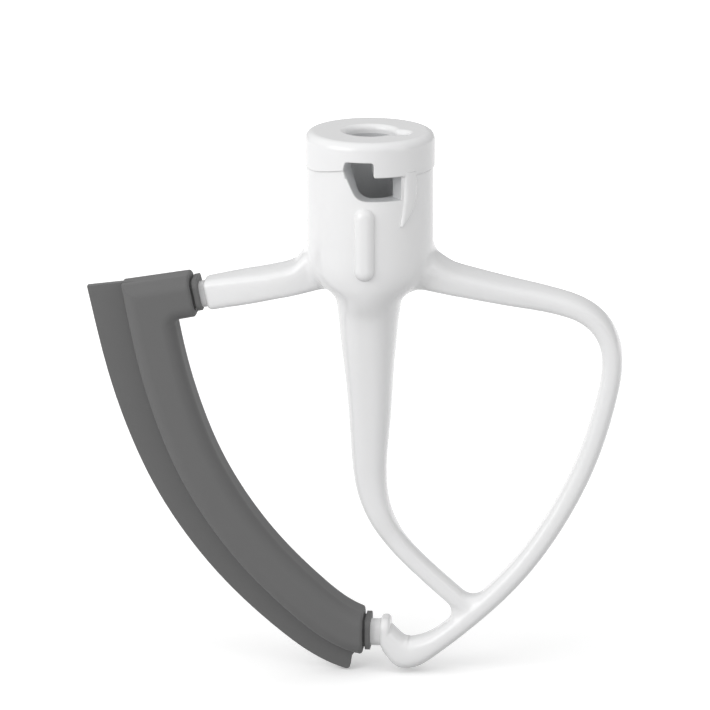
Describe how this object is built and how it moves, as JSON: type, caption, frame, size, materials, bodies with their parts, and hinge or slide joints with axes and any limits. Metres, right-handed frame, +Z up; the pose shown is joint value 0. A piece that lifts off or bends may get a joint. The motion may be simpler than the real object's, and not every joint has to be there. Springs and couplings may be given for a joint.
{
  "type": "stand mixer flat beater",
  "caption": "Flat beater with a coated cast frame, a slotted hub for the mixer's shaft and a soft scraping edge on one side.",
  "frame": {"origin": "on the axis of the hub's shaft bore, 1.5 mm below the hub's top face", "axes": "+Z up along the bore to where the shaft enters, +X from the soft edge towards the closed loop, +Y to the back, across the flat beater"},
  "size_m": [0.139, 0.0347, 0.145],
  "materials": {
    "coating": "gloss",
    "soft_edge": "matte"
  },
  "bodies": {
    "root": {"beater_frame": "coating", "flex_edge": "soft_edge"}
  },
  "joints": []
}
